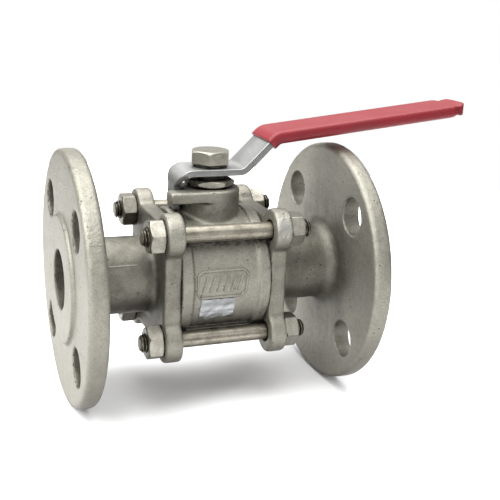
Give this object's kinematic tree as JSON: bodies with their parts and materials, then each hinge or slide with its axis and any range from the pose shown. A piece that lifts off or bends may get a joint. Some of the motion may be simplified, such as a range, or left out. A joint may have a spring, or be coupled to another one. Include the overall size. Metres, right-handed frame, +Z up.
{
  "type": "ball valve",
  "caption": "Flanged three-piece ball valve in cast stainless steel, with tie studs, a stem boss and a bent strap lever that has a red grip.",
  "frame": {"origin": "centre of the ball, on the pipe axis where the stem axis crosses it", "axes": "+X along the pipe towards the end the open lever points at, +Z up the stem"},
  "size_m": [0.1865, 0.1084, 0.1278],
  "materials": {
    "cast_steel": "as cast and bead blasted, matt warm grey",
    "fastener_steel": "plain stainless fasteners, slightly shiny",
    "polished_steel": "turned and polished",
    "strap_steel": "rolled strip, fine grain along its length",
    "ptfe": "white PTFE",
    "red_vinyl": "dipped vinyl, satin",
    "foil": "plain silver foil"
  },
  "bodies": {
    "valve_body": {"body_center": "cast_steel", "end_cap_left": "cast_steel", "end_cap_right": "cast_steel", "seat_left": "ptfe", "seat_right": "ptfe", "body_seal_left": "ptfe", "body_seal_right": "ptfe", "thrust_washer": "ptfe", "packing_ring_1": "ptfe", "packing_ring_2": "ptfe", "packing_ring_3": "ptfe", "packing_gland": "fastener_steel", "foil_label": "foil", "stud_front_top": "fastener_steel", "stud_front_bottom": "fastener_steel", "stud_back_top": "fastener_steel", "stud_back_bottom": "fastener_steel", "nut_front_top_left": "fastener_steel", "nut_front_top_right": "fastener_steel", "nut_front_bottom_left": "fastener_steel", "nut_front_bottom_right": "fastener_steel", "nut_back_top_left": "fastener_steel", "nut_back_top_right": "fastener_steel", "nut_back_bottom_left": "fastener_steel", "nut_back_bottom_right": "fastener_steel"},
    "stem_assembly": {"stem": "polished_steel", "disc_spring_1": "fastener_steel", "disc_spring_2": "fastener_steel", "gland_nut": "fastener_steel", "handle_lever": "strap_steel", "handle_grip": "red_vinyl", "spring_washer": "fastener_steel", "handle_bolt": "fastener_steel"},
    "ball": {"ball": "polished_steel"}
  },
  "joints": [
    {"name": "handle_turn", "type": "hinge", "parent": "valve_body", "child": "stem_assembly", "pos_m": [0, 0, 0], "axis": [0, 0, 1], "range_deg": [-90, 0]},
    {"name": "ball_turn", "type": "hinge", "parent": "valve_body", "child": "ball", "pos_m": [0, 0, 0], "axis": [0, 0, 1], "range_deg": [-90, 0]}
  ],
  "couplings": [
    {"joint": "ball_turn", "follows": "handle_turn", "ratio": 1}
  ]
}
